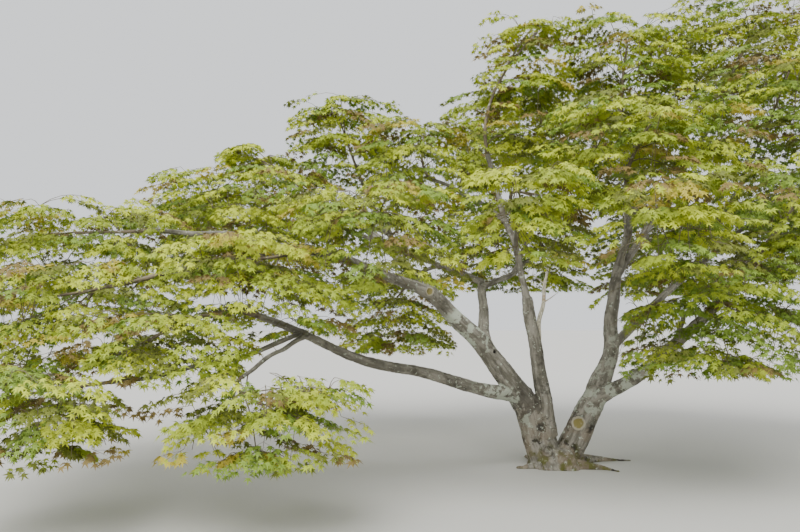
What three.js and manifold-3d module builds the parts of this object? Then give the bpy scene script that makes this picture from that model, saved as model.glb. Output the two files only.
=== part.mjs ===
import * as THREE from "three";
import { mergeVertices } from "three/addons/utils/BufferGeometryUtils.js";
import Module from "manifold-3d";

// Sizes are millimetres and angles degrees. The tree stands on z = 0 with its root crown round the
// origin. The crown is longest along X and its near side faces -Y.

const wasm = await Module();
wasm.setup();
const { Manifold, Mesh } = wasm;

// Clear space between one solid and the next
const clearance = 0.3;

// Limbs in the order they grow. A limb starts on the middle line of the limb it grows on, at a share
// of that limb's length. Bearing, reach and rise lead to its tip, arch lifts its middle, sway and
// snake bend it sideways, and girth is its radius at the foot and at the tip.
const limbs = {
  trunk: { foot: [-45, 10, -120], bearing: 180, reach: 250, rise: 850, arch: 0, sway: 0, snake: 0, girth: [172, 152] },
  right_stem: { foot: [105, 30, 20], bearing: 355, reach: 360, rise: 780, arch: 7, sway: 0, snake: 10, girth: [148, 112] },
  middle_stem: { on: "trunk", at: 0.55, offset: [105, -70, 0], bearing: 196, reach: 230, rise: 1420, arch: 0, sway: 30, snake: 12, girth: [82, 58] },
  left_main_bough: { on: "trunk", at: 0.84, bearing: 201, reach: 1130, rise: 1200, arch: 75, sway: -12, snake: 6, girth: [114, 78] },
  left_low_bough: { on: "trunk", at: 1, bearing: 210, reach: 2950, rise: 850, arch: -100, sway: -85, snake: -20, girth: [78, 28] },
  rear_left_bough: { on: "trunk", at: 0.93, offset: [0, 40, 0], bearing: 111, reach: 1030, rise: 1310, arch: -20, sway: 200, snake: 30, girth: [82, 46] },
  right_upright: { on: "right_stem", at: 1, bearing: 41, reach: 460, rise: 1340, arch: -20, sway: -33, snake: -37, girth: [92, 58] },
  right_low_bough: { on: "right_stem", at: 0.84, bearing: 326, reach: 1640, rise: 1490, arch: -165, sway: 30, snake: 0, girth: [84, 33] },
  left_long_bough: { on: "left_main_bough", at: 1, bearing: 202, reach: 2600, rise: 150, arch: 300, sway: 0, snake: -30, girth: [62, 26] },
  left_rising_bough: { on: "left_main_bough", at: 0.96, bearing: 157, reach: 1860, rise: 1090, arch: 280, sway: 50, snake: 0, girth: [50, 25] },
  middle_leader: { on: "middle_stem", at: 1, bearing: 205, reach: 470, rise: 1490, arch: 0, sway: 20, snake: 20, girth: [38, 22] },
  rear_left_arm: { on: "rear_left_bough", at: 1, bearing: 163, reach: 1010, rise: 390, arch: 20, sway: 0, snake: 20, girth: [37, 32] },
  rear_centre_bough: { on: "rear_left_bough", at: 0.95, bearing: 43, reach: 1180, rise: 480, arch: -30, sway: -20, snake: -20, girth: [36, 26] },
  right_inner_bough: { on: "right_upright", at: 1, bearing: 257, reach: 1180, rise: 710, arch: 100, sway: 80, snake: 0, girth: [44, 26] },
  right_top_bough: { on: "right_upright", at: 0.98, bearing: 268, reach: 250, rise: 1640, arch: 0, sway: 80, snake: 20, girth: [44, 24] },
  right_outer_bough: { on: "right_upright", at: 0.93, bearing: 16, reach: 1730, rise: 2610, arch: -220, sway: 50, snake: 30, girth: [44, 24] },
  far_right_bough: { on: "right_upright", at: 0.35, bearing: 27, reach: 2230, rise: 1430, arch: 90, sway: -60, snake: 0, girth: [48, 26] },
  left_low_front_bough: { on: "left_low_bough", at: 0.84, bearing: 246, reach: 950, rise: -290, arch: 50, sway: 50, snake: 0, girth: [24, 15] },
  left_low_tip_bough: { on: "left_low_bough", at: 0.86, bearing: 218, reach: 1640, rise: -340, arch: -60, sway: 60, snake: 0, girth: [24, 15] },
  left_front_bough: { on: "left_long_bough", at: 0.4, bearing: 232, reach: 570, rise: -30, arch: 40, sway: 0, snake: 0, girth: [26, 18] },
  left_shoulder_bough: { on: "left_long_bough", at: 0.52, bearing: 174, reach: 1530, rise: 200, arch: 50, sway: 50, snake: 0, girth: [34, 22] },
  centre_front_bough: { on: "left_rising_bough", at: 0.25, bearing: 266, reach: 800, rise: 250, arch: 50, sway: 0, snake: 0, girth: [28, 18] },
  centre_top_bough: { on: "middle_leader", at: 0.55, bearing: 150, reach: 840, rise: 510, arch: 40, sway: 0, snake: 0, girth: [24, 16] },
  centre_skirt_bough: { on: "middle_leader", at: 0.3, bearing: 258, reach: 1160, rise: 400, arch: 80, sway: 0, snake: 0, girth: [26, 17] },
  spire_bough: { on: "rear_left_arm", at: 1, bearing: 182, reach: 550, rise: 1020, arch: -100, sway: 0, snake: 30, girth: [26, 20] },
  rear_left_low_bough: { on: "rear_left_arm", at: 0.5, bearing: 129, reach: 610, rise: -200, arch: 60, sway: 0, snake: 0, girth: [26, 17] },
  rear_side_bough: { on: "rear_left_arm", at: 0.92, bearing: 157, reach: 1710, rise: 460, arch: 100, sway: 0, snake: 0, girth: [28, 20] },
  sparse_bough: { on: "spire_bough", at: 0.3, bearing: 166, reach: 1190, rise: 710, arch: -50, sway: 0, snake: 30, girth: [20, 14] },
  rear_crest_bough: { on: "rear_centre_bough", at: 0.5, bearing: 30, reach: 760, rise: 1330, arch: -50, sway: 50, snake: 0, girth: [26, 20] },
  right_skirt_bough: { on: "right_inner_bough", at: 0.4, bearing: 255, reach: 1560, rise: -20, arch: 50, sway: 0, snake: 0, girth: [25, 16] },
  right_low_front_bough: { on: "right_low_bough", at: 0.52, bearing: 262, reach: 480, rise: 320, arch: 50, sway: 0, snake: 0, girth: [26, 17] },
  right_shoulder_bough: { on: "far_right_bough", at: 0.55, bearing: 335, reach: 600, rise: 1120, arch: -30, sway: 60, snake: 0, girth: [28, 20] },
  rear_right_bough: { on: "right_outer_bough", at: 0.22, bearing: 68, reach: 1550, rise: 140, arch: 50, sway: 0, snake: 0, girth: [30, 20] },
  dead_snag: { on: "middle_stem", at: 0.55, offset: [0, 20, 0], bearing: 61, reach: 440, rise: 980, arch: -20, sway: 20, snake: 0, girth: [24, 11] },
};

// The root crown under the stems, and the roots that run out of it along the ground
const rootCrown = { middle: [15, 25], radii: [300, 282, 235, 160], heights: [-60, 25, 120, 200], lobes: 5, lobeDepth: 0.08, sides: 15 };
const surfaceRoots = [
  { bearing: 18, reach: 900, girth: [90, 22] },
  { bearing: 331, reach: 650, girth: [80, 24] },
  { bearing: 200, reach: 460, girth: [90, 32] },
  { bearing: 118, reach: 520, girth: [90, 28] },
];

// Masses of foliage. Each keeps to its own share of a rounded space with these half sizes across,
// deep and high, and its stem goes on from the tip of the limb it grows on to a crest above the centre.
const masses = {
  left_low_front: { on: "left_low_front_bough", centre: [-2650, -2380, 870], half: [800, 560, 360], plates: 6, seed: 11 },
  left_low_tip: { on: "left_low_tip_bough", centre: [-4250, -2450, 930], half: [820, 620, 380], plates: 6, seed: 12 },
  left_skirt: { on: "left_low_bough", centre: [-3500, -1950, 1300], half: [960, 720, 420], plates: 7, seed: 38 },
  left_middle: { on: "left_long_bough", centre: [-4500, -1450, 1620], half: [1150, 820, 580], plates: 8, seed: 39 },
  left_shoulder: { on: "left_shoulder_bough", centre: [-4800, -500, 2250], half: [1300, 950, 600], plates: 8, seed: 15 },
  left_front: { on: "left_front_bough", centre: [-2900, -1550, 1920], half: [1020, 800, 560], plates: 9, seed: 16 },
  left_top: { on: "left_rising_bough", centre: [-3280, 420, 2800], half: [1280, 1000, 620], plates: 9, seed: 17 },
  left_sparse: { on: "sparse_bough", centre: [-3450, 1650, 3500], half: [750, 600, 380], plates: 5, seed: 18 },
  left_spire: { on: "spire_bough", centre: [-2360, 1200, 3780], half: [740, 660, 640], plates: 7, seed: 19 },
  centre_front: { on: "centre_front_bough", centre: [-1840, -1600, 2300], half: [950, 760, 550], plates: 8, seed: 20 },
  centre_top: { on: "centre_top_bough", centre: [-1350, 300, 3360], half: [900, 860, 620], plates: 7, seed: 21 },
  centre_high: { on: "middle_leader", centre: [-220, -100, 4000], half: [600, 640, 950], crest: 0.55, plates: 7, seed: 22 },
  centre_skirt: { on: "centre_skirt_bough", centre: [-600, -1950, 2420], half: [740, 620, 460], plates: 6, seed: 23 },
  right_top: { on: "right_top_bough", centre: [850, 0, 4260], half: [920, 820, 680], plates: 8, seed: 24 },
  right_front: { on: "right_inner_bough", centre: [580, -1350, 3080], half: [980, 820, 540], plates: 9, seed: 25 },
  right_skirt: { on: "right_skirt_bough", centre: [360, -2200, 2300], half: [740, 620, 400], plates: 5, seed: 26 },
  right_low: { on: "right_low_front_bough", centre: [1100, -1350, 1640], half: [1060, 760, 600], plates: 8, seed: 27 },
  right_shoulder: { on: "right_shoulder_bough", centre: [2350, -350, 3800], half: [1150, 1000, 600], plates: 8, seed: 28 },
  right_middle: { on: "right_low_bough", centre: [2070, -1150, 2620], half: [1100, 860, 620], plates: 8, seed: 29 },
  right_crest: { on: "right_outer_bough", centre: [2650, 800, 4860], half: [1220, 1000, 620], plates: 9, seed: 30 },
  far_right: { on: "far_right_bough", centre: [3400, 480, 2660], half: [1200, 1250, 700], plates: 8, seed: 31 },
  rear_left_low: { on: "rear_left_low_bough", centre: [-1650, 2050, 1680], half: [1050, 750, 620], plates: 7, seed: 32 },
  rear_left: { on: "rear_side_bough", centre: [-3800, 2150, 2690], half: [1350, 1020, 740], plates: 7, seed: 33 },
  rear_centre: { on: "rear_centre_bough", centre: [0, 2300, 2620], half: [1250, 920, 740], plates: 7, seed: 34 },
  rear_right: { on: "rear_right_bough", centre: [2050, 2300, 2500], half: [1200, 960, 700], plates: 7, seed: 35 },
  rear_crest: { on: "rear_crest_bough", centre: [560, 1750, 3980], half: [1600, 1050, 700], plates: 8, seed: 36 },
};

// A plate is one flat spray: a twig with a pair of blades near its end and one blade straight on
const plate = {
  twigGirth: [11, 8],
  hub: 17,
  bladeLength: [540, 680],
  bladeWidth: 0.76,
  bladeThickness: 0.026,
  widest: 0.58,
  pairAngle: 60,
  droop: 0.13,
  apart: 78,
};
const squareness = 3;
const spaceMargin = 0.05;
const limbMargin = 35;

const rad = THREE.MathUtils.degToRad;
const up = new THREE.Vector3(0, 0, 1);

// Repeatable random numbers between 0 and 1
function dice(seed) {
  return () => {
    seed = (seed * 48271) % 2147483647;
    return seed / 2147483647;
  };
}

// Small bends that no two limbs share
Object.values(limbs).forEach((limb, index) => {
  const roll = dice(101 + index);
  roll();
  limb.phase = roll() * 6.28;
});

function limbPoint(limb, t) {
  const foot = limb.foot ? new THREE.Vector3(...limb.foot) : limbPoint(limbs[limb.on], limb.at).add(new THREE.Vector3(...(limb.offset ?? [0, 0, 0])));
  const along = new THREE.Vector3(Math.cos(rad(limb.bearing)), Math.sin(rad(limb.bearing)), 0);
  const aside = new THREE.Vector3(-along.y, along.x, 0);
  const bow = Math.sin(Math.PI * t);
  const twice = Math.sin(2 * Math.PI * t);
  const ripple = 0.011 * Math.hypot(limb.reach, limb.rise) * bow;
  return foot
    .addScaledVector(along, limb.reach * t)
    .addScaledVector(aside, limb.sway * bow + limb.snake * twice + ripple * Math.sin(limb.phase + 14 * t))
    .addScaledVector(up, limb.rise * t + limb.arch * bow + ripple * Math.sin(1.7 * limb.phase + 11 * t));
}

function limbLength(limb) {
  let length = 0;
  for (let i = 0; i < 20; i++) length += limbPoint(limb, i / 20).distanceTo(limbPoint(limb, (i + 1) / 20));
  return length;
}

// A limb thins evenly and swells into a collar where it leaves its parent
function limbRadius(limb, t) {
  const [base, tip] = limb.girth;
  const collar = limb.on ? 0.2 * base * Math.exp(-((Math.max(t, 0) * limb.length / (2 * base)) ** 2)) : 0;
  return tip + (base - tip) * (1 - t) + collar;
}

Object.values(limbs).forEach((limb) => { limb.length = limbLength(limb); });

function toManifold(geometry) {
  const bare = geometry.clone();
  bare.deleteAttribute("normal");
  bare.deleteAttribute("uv");
  const merged = mergeVertices(bare, 1e-4);
  return new Manifold(new Mesh({
    numProp: 3,
    vertProperties: new Float32Array(merged.attributes.position.array),
    triVerts: new Uint32Array(merged.index.array),
  }));
}

// A closed tube along point(t), with a radius for each t and for each turn round it
function tube(point, radius, times, sides, end = 0) {
  const geometry = new THREE.CylinderGeometry(1, 1, 1, sides, times.length - 1);
  const position = geometry.attributes.position;
  const chord = point(times[times.length - 1]).sub(point(times[0]));
  const aside = new THREE.Vector3(-chord.y, chord.x, 0);
  if (aside.length() < 0.02 * chord.length()) aside.set(0, 1, 0);
  aside.normalize();
  for (let i = 0; i < position.count; i++) {
    const x = position.getX(i), z = position.getZ(i);
    const step = Math.round((position.getY(i) + 0.5) * (times.length - 1));
    const t = times[step];
    const tangent = point(t + 0.01).sub(point(t - 0.01)).normalize();
    const n = aside.clone().addScaledVector(tangent, -aside.dot(tangent)).normalize();
    const b = new THREE.Vector3().crossVectors(n, tangent);
    const place = point(t);
    if (step === 0) place.addScaledVector(tangent, -end);
    if (step === times.length - 1) place.addScaledVector(tangent, end);
    const r = radius(t, Math.atan2(z, x));
    place.addScaledVector(n, x * r).addScaledVector(b, z * r);
    position.setXYZ(i, place.x, place.y, place.z);
  }
  return toManifold(geometry);
}

function limbTube(limb, grow) {
  const thick = limb.girth[0];
  const sides = thick > 60 ? 8 : thick > 30 ? 6 : 5;
  const steps = Math.min(9, Math.max(3, Math.round(limb.length / (thick > 60 ? 210 : 280))));
  const start = -0.4 * thick / limb.length;
  const times = [];
  for (let i = 0; i <= steps; i++) times.push(start + (1 - start) * (i / steps) ** 1.15);
  return tube((t) => limbPoint(limb, t), (t) => limbRadius(limb, t) + grow, times, sides, grow);
}

// The trunk: the root crown with its lobes, the leaning column that forks, and the surface roots
function trunkSolid(grow) {
  const { middle, radii, heights, lobes, lobeDepth, sides } = rootCrown;
  const last = heights.length - 1;
  const crown = tube(
    (t) => {
      const k = Math.min(last - 1, Math.max(0, Math.floor(t * last)));
      return new THREE.Vector3(...middle, heights[k] + (heights[k + 1] - heights[k]) * (t * last - k));
    },
    (t, turn) => radii[Math.round(t * last)] * (1 + lobeDepth * Math.cos(lobes * turn + 0.6)) + grow,
    heights.map((h, i) => i / last), sides, grow);
  const column = tube((t) => limbPoint(limbs.trunk, t),
    (t) => limbRadius(limbs.trunk, t) * Math.sqrt(Math.max(0.12, 1 - Math.max(0, (t - 0.84) / 0.17) ** 2)) + grow,
    [0, 0.3, 0.6, 0.8, 0.92, 1], 12, grow);
  const roots = surfaceRoots.map((root) => {
    const along = new THREE.Vector3(Math.cos(rad(root.bearing)), Math.sin(rad(root.bearing)), 0);
    const aside = new THREE.Vector3(-along.y, along.x, 0);
    const foot = new THREE.Vector3(...middle, 0).addScaledVector(along, 150);
    return tube(
      (t) => foot.clone().addScaledVector(along, (root.reach - 150) * t)
        .addScaledVector(aside, 0.06 * root.reach * Math.sin(5 * t + root.bearing))
        .addScaledVector(up, 30 * (1 - t) - 10 * t),
      (t) => root.girth[0] + (root.girth[1] - root.girth[0]) * Math.min(1, 1.25 * t) + grow,
      [0, 0.33, 0.66, 1], 5, grow);
  });
  return Manifold.union([crown, column, ...roots]);
}

function largest(solid) {
  const pieces = solid.decompose();
  return pieces.reduce((best, piece) => (piece.volume() > best.volume() ? piece : best));
}

function boxesMeet(a, b) {
  const p = a.boundingBox(), q = b.boundingBox();
  return [0, 1, 2].every((k) => p.min[k] < q.max[k] + 1 && q.min[k] < p.max[k] + 1);
}

// Each limb is cut clear of the ones that grew before it, and the trunk is cut flat at the ground
const solids = {};
const swollen = {};
for (const [name, limb] of Object.entries(limbs)) {
  const isTrunk = name === "trunk";
  let solid = isTrunk ? trunkSolid(0) : limbTube(limb, 0);
  for (const other of Object.values(swollen)) {
    if (boxesMeet(solid, other)) solid = solid.subtract(other);
  }
  solids[name] = largest(solid.trimByPlane([0, 0, 1], 0));
  swollen[name] = isTrunk ? trunkSolid(clearance) : limbTube(limb, clearance);
}

// How far out a point lies in a mass: 0 at its centre, 1 on its surface
function depthIn(mass, p) {
  const [x, y, z] = mass.centre.map((c, k) => (p.getComponent(k) - c) / mass.half[k]);
  return (Math.hypot(x, y) ** squareness + Math.abs(z) ** squareness) ** (1 / squareness);
}

function keepsToSpace(mass, p) {
  const own = depthIn(mass, p);
  return own < 1 && Object.values(masses).every((other) => other === mass || own + spaceMargin < depthIn(other, p));
}

const limbLines = Object.values(limbs).map((limb) => {
  const dots = [];
  const steps = Math.ceil(limb.length / 60);
  for (let i = 0; i <= steps; i++) dots.push({ at: limbPoint(limb, i / steps), r: limbRadius(limb, i / steps) });
  return dots;
});

function clearOfLimbs(p) {
  return limbLines.every((dots) => dots.every((dot) => dot.at.distanceTo(p) > dot.r + limbMargin));
}

// One blade stands for a spray of leaves: eight faces, its sides and its tip hanging a little
function bladeFrame(root, heading, pitch, roll, length) {
  const forward = new THREE.Vector3(Math.cos(heading) * Math.cos(pitch), Math.sin(heading) * Math.cos(pitch), Math.sin(pitch));
  const level = new THREE.Vector3(-Math.sin(heading), Math.cos(heading), 0);
  const lift = new THREE.Vector3().crossVectors(forward, level);
  const side = level.clone().multiplyScalar(Math.cos(roll)).addScaledVector(lift, Math.sin(roll));
  lift.crossVectors(forward, side);
  return (along, across, high) => root.clone()
    .addScaledVector(forward, along * length)
    .addScaledVector(side, across * length * plate.bladeWidth / 2)
    .addScaledVector(lift, high - plate.droop * length * (0.6 * Math.abs(across) + Math.max(0, along - 0.5) ** 2 * 2));
}

// A plate is one closed solid: a three-sided twig that opens at its end into a hub, and round the
// hub from right to left the blades, each ridged along its middle above and below
function plateSolid(twig, heading, frames) {
  const points = [], faces = [];
  const put = (p) => points.push(p) - 1;
  const ring = (t, r) => {
    const tangent = twig(t + 0.01).sub(twig(t - 0.01)).normalize();
    const left = new THREE.Vector3(-tangent.y, tangent.x, 0).normalize();
    const lift = new THREE.Vector3().crossVectors(tangent, left);
    return [[0.87, 0.5], [-0.87, 0.5], [0, -1]].map(([x, z]) => put(twig(t).addScaledVector(left, x * r).addScaledVector(lift, z * r)));
  };
  const hub = (turn, out, high) => put(twig(1).add(new THREE.Vector3(Math.cos(turn) * out, Math.sin(turn) * out, high)));
  const top = hub(0, 0, 8), bottom = hub(0, 0, -9);
  const turns = frames.map((frame) => frame.swing);
  const notches = [heading - rad(118), ...turns.slice(1).map((turn, i) => (turn + turns[i]) / 2), heading + rad(118)]
    .map((turn) => hub(turn, plate.hub, 0));
  const rings = [ring(0, plate.twigGirth[0]), [notches.at(-1), notches[0], bottom]];
  if (twig(0).distanceTo(twig(1)) > 520) rings.splice(1, 0, ring(0.5, plate.twigGirth[1]));
  faces.push([rings[0][0], rings[0][2], rings[0][1]], [notches.at(-1), notches[0], top]);
  for (let i = 0; i + 1 < rings.length; i++) {
    for (let k = 0; k < 3; k++) {
      const a = rings[i][k], b = rings[i][(k + 1) % 3], c = rings[i + 1][(k + 1) % 3], d = rings[i + 1][k];
      faces.push([a, b, c], [a, c, d]);
    }
  }
  frames.forEach(({ frame, length }, i) => {
    const thick = plate.bladeThickness * length / 2;
    const edge = [notches[i], put(frame(plate.widest, -1, 0)), put(frame(1, 0, 0)), put(frame(plate.widest, 1, 0)), notches[i + 1]];
    const ridge = put(frame(plate.widest - 0.08, 0, thick)), keel = put(frame(plate.widest - 0.08, 0, -thick));
    const over = [top, ...edge], under = [bottom, ...edge];
    for (let k = 0; k < 6; k++) faces.push([ridge, over[k], over[(k + 1) % 6]], [keel, under[(k + 1) % 6], under[k]]);
  });
  const geometry = new THREE.BufferGeometry();
  geometry.setAttribute("position", new THREE.BufferAttribute(new Float32Array(points.flatMap((p) => p.toArray())), 3));
  geometry.setIndex(faces.flat());
  return toManifold(geometry);
}

// Points spread over a blade, that stand for it where it must keep clear of something
function bladeDots(frame) {
  const dots = [];
  for (let i = 1; i <= 6; i++) {
    const along = i / 6;
    const wide = along < plate.widest ? along / plate.widest : (1 - along) / (1 - plate.widest);
    for (const across of wide > 0.1 ? [-wide, -wide / 2, 0, wide / 2, wide] : [0]) dots.push(frame(along, across, 0));
  }
  return dots;
}

function curve(a, b, c) {
  return (t) => a.clone().multiplyScalar((1 - t) ** 2).addScaledVector(b, 2 * t * (1 - t)).addScaledVector(c, t * t);
}

// A small mass has shorter blades
function bladeScale(mass) {
  return Math.min(1, Math.max(0.72, mass.half[0] / 980));
}

// Where the plates of a mass end: one on its stem, then three rings, at mid height, on top and below
function plateSpots(mass, roll) {
  const top = Math.round(mass.plates * 0.3), low = Math.round(mass.plates * 0.24);
  const layers = [[mass.plates - top - low, 0.05, -14], [top, 0.68, -8], [low, -0.58, -18]];
  const spots = [];
  layers.forEach(([count, height, slope], layer) => {
    for (let i = 0; i < count; i++) {
      const turn = 2 * Math.PI * (i + 0.5 * layer) / count + mass.seed + 0.3 * (roll() - 0.5);
      const room = 1 / Math.hypot(Math.cos(turn) / mass.half[0], Math.sin(turn) / mass.half[1]);
      const out = Math.max(80, room * (1 - Math.abs(height) ** squareness) ** (1 / squareness) - 0.85 * bladeScale(mass) * plate.bladeLength[1]);
      const high = height * mass.half[2] + (i % 2 ? 35 : -35) + 40 * (roll() - 0.5);
      spots.push({ turn, end: [Math.cos(turn) * out, Math.sin(turn) * out, high], slope });
    }
  });
  return spots;
}

// The stem goes on from the limb's tip through the mass and carries a plate at its end. Twigs leave
// it forwards, each to one plate. A blade that would leave the space, touch a limb or run into
// another plate is tried smaller and then left out.
function growMass(mass) {
  const roll = dice(mass.seed);
  roll();
  const limb = limbs[mass.on];
  const tip = limbPoint(limb, 1);
  const direction = limbPoint(limb, 1.01).sub(limbPoint(limb, 0.99)).normalize();
  const centre = new THREE.Vector3(...mass.centre);
  const far = centre.clone().addScaledVector(centre.clone().sub(tip), 0.15).addScaledVector(up, (mass.crest ?? 0.3) * mass.half[2]);
  const start = tip.clone().addScaledVector(direction, clearance);
  const stem = curve(start, start.clone().addScaledVector(direction, 0.4 * far.distanceTo(start)), far);
  const stemBase = limb.girth[1] * 0.95;
  const pieces = [tube(stem, (t) => stemBase + (13 - stemBase) * Math.max(0, t), [0, 0.33, 0.67, 1], 5)];
  const taken = [0.1, 0.25, 0.4, 0.55, 0.7, 0.85].map(stem);
  const apart = plate.apart * bladeScale(mass);
  let blades = 0;

  function growPlate(from, end, turn, slope) {
    const fork = stem(from);
    const ahead = stem(from + 0.02).sub(stem(from - 0.02)).normalize();
    const span = fork.distanceTo(end);
    const bend = fork.clone().addScaledVector(ahead, 0.3 * span).addScaledVector(up, 0.12 * span).lerp(end, 0.25);
    const twig = curve(fork, bend, end);
    const lean = end.clone().sub(bend);
    const heading = Math.atan2(lean.y + 2 * span * Math.sin(turn), lean.x + 2 * span * Math.cos(turn));
    const frames = [], dots = [];
    for (const hand of [-1, 0, 1]) {
      const full = bladeScale(mass) * (plate.bladeLength[0] + (plate.bladeLength[1] - plate.bladeLength[0]) * roll());
      const swing = heading + hand * rad(plate.pairAngle + 6 * (roll() - 0.5));
      const pitch = rad(slope + 10 * (roll() - 0.5));
      const tilt = rad(14) * (roll() - 0.5);
      for (const size of [1, 0.84, 0.7, 0.56]) {
        const frame = bladeFrame(end, swing, pitch, tilt, full * size);
        const spread = bladeDots(frame);
        if (!spread.every((p) => keepsToSpace(mass, p) && clearOfLimbs(p))) continue;
        if (spread.some((p) => taken.some((q) => p.distanceTo(q) < apart))) continue;
        frames.push({ frame, swing, length: full * size });
        dots.push(...spread);
        break;
      }
    }
    const twigDots = [0.4, 0.55, 0.7, 0.85, 1].map(twig);
    const twigFits = twigDots.every((p) => keepsToSpace(mass, p) && clearOfLimbs(p) && taken.every((q) => p.distanceTo(q) > 0.6 * apart));
    if (!twigFits || !frames.length) return;
    taken.push(...dots, ...twigDots.slice(1, 4));
    blades += frames.length;
    pieces.push(plateSolid(twig, heading, frames));
  }

  const onward = far.clone().sub(stem(0.9)).normalize();
  growPlate(0.84, far.clone().addScaledVector(onward, 130), Math.atan2(onward.y, onward.x), -6);
  for (const spot of plateSpots(mass, roll)) {
    const end = centre.clone().add(new THREE.Vector3(...spot.end));
    let near = 0.1;
    for (let t = 0.1; t < 0.9; t += 0.05) if (stem(t).distanceTo(end) < stem(near).distanceTo(end)) near = t;
    growPlate(Math.max(0.06, near - 0.22), end, spot.turn, spot.slope);
  }
  return { solid: largest(Manifold.union(pieces)), blades };
}

const barkMaterial = new THREE.MeshStandardMaterial({ color: "#8d877a", roughness: 0.9 });
const deadMaterial = new THREE.MeshStandardMaterial({ color: "#cfc5a9", roughness: 0.95 });
const leafMaterial = new THREE.MeshStandardMaterial({ color: "#98a345", roughness: 0.75 });

const tree = new THREE.Group();
tree.name = "japanese_maple";

function addMesh(name, solid, material) {
  const mesh = solid.getMesh();
  const geometry = new THREE.BufferGeometry();
  geometry.setAttribute("position", new THREE.BufferAttribute(new Float32Array(mesh.vertProperties), 3));
  geometry.setIndex(new THREE.BufferAttribute(new Uint32Array(mesh.triVerts), 1));
  geometry.computeVertexNormals();
  const part = new THREE.Mesh(geometry, material);
  part.name = name;
  tree.add(part);
}

for (const name of Object.keys(limbs)) addMesh(name, solids[name], name === "dead_snag" ? deadMaterial : barkMaterial);
let bladeCount = 0;
for (const [name, mass] of Object.entries(masses)) {
  const { solid, blades } = growMass(mass);
  bladeCount += blades;
  addMesh(name, solid, leafMaterial);
}
console.log(`${bladeCount} blades`);

export default tree;
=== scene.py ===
# Spreading garden maple: bark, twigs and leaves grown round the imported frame.
# Metres and degrees. The tree stands on z = 0, its crown is longest along X and its near side faces -Y.
import math

import bmesh
import bpy
import numpy as np
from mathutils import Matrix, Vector, kdtree, noise


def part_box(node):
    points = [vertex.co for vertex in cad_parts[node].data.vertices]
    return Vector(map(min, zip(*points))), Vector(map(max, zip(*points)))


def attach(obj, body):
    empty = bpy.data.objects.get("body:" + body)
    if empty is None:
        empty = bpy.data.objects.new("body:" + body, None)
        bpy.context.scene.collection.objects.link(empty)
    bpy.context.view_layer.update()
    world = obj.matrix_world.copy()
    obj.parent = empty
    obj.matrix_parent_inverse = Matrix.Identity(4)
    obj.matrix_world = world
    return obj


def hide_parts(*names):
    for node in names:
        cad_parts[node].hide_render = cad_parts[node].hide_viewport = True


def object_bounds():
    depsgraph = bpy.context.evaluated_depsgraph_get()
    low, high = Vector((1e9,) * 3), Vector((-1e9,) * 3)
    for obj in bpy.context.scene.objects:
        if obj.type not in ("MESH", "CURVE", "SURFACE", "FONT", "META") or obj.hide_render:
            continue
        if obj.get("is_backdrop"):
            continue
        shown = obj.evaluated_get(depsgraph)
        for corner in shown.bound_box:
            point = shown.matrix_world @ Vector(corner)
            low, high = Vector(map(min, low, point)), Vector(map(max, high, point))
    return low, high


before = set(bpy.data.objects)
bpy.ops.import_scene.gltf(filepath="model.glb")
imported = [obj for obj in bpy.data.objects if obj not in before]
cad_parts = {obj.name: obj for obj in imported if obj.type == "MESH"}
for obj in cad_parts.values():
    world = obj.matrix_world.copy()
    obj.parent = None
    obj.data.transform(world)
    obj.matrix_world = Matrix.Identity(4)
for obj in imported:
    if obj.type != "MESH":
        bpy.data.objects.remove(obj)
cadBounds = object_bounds()
print("frame loaded,", len(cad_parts), "nodes")

up = np.array([0.0, 0.0, 1.0])
clearance = 0.0003  # between a limb and what leaves it
view = {"lens": 32, "sensor": 36, "place": (-1.63, -7.6, 1.6), "pitch": 3.81}  # a standing viewer's

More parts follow.
